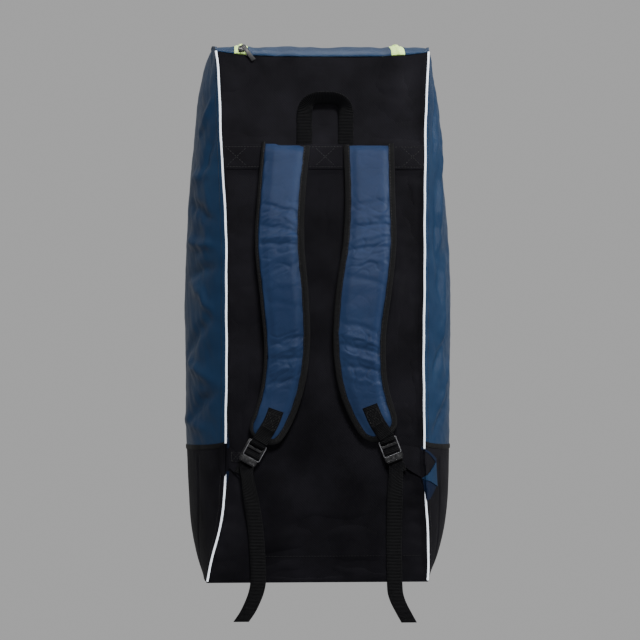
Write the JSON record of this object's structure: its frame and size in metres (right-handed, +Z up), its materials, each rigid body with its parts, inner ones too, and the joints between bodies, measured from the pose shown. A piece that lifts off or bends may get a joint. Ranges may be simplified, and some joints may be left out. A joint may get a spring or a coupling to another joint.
{
  "type": "cricket kit bag",
  "caption": "Tall stuffed duffle for cricket kit with padded shoulder straps, haul loop, webbing tails with ladder-lock buckles, piped seams and a zipped lid.",
  "frame": {"origin": "the middle of the webbing at the underside of the haul loop's apex, where a hook or a hand holds the bag up", "axes": "+Z up along the bag, -Y out of the back panel that carries the shoulder straps, +X to the right of someone who faces that panel"},
  "size_m": [0.4129, 0.3734, 0.8763],
  "materials": {
    "blue_cloth": "satin woven polyester",
    "black_cloth": "matte woven polyester",
    "webbing": "ribbed polypropylene webbing",
    "binding": "grosgrain binding tape",
    "piping": "satin vinyl-covered cord",
    "zip_tape": "woven zip tape",
    "plastic": "moulded acetal, semi-gloss"
  },
  "bodies": {
    "root": {"back_panel": "black_cloth", "front_lower": "black_cloth", "front_tape": "binding", "front_panel": "blue_cloth", "lid_flap": "blue_cloth", "zip_tape": "zip_tape", "zip_slider": "plastic", "zip_pull": "plastic", "base_panel": "black_cloth", "reinforcement_band": "webbing", "haul_loop": "webbing", "side_panel_left": "blue_cloth", "side_panel_right": "blue_cloth", "side_lower_left": "black_cloth", "side_lower_right": "black_cloth", "side_tape_left": "binding", "side_tape_right": "binding", "piping_left": "piping", "piping_right": "piping", "strap_pad_left": "blue_cloth", "strap_pad_right": "blue_cloth", "strap_binding_left": "binding", "strap_binding_right": "binding", "strap_tab_left": "webbing", "strap_tab_right": "webbing", "buckle_left": "plastic", "buckle_right": "plastic", "gusset_left": "blue_cloth", "gusset_right": "blue_cloth", "lower_webbing_left": "webbing", "lower_webbing_right": "webbing"}
  },
  "joints": []
}
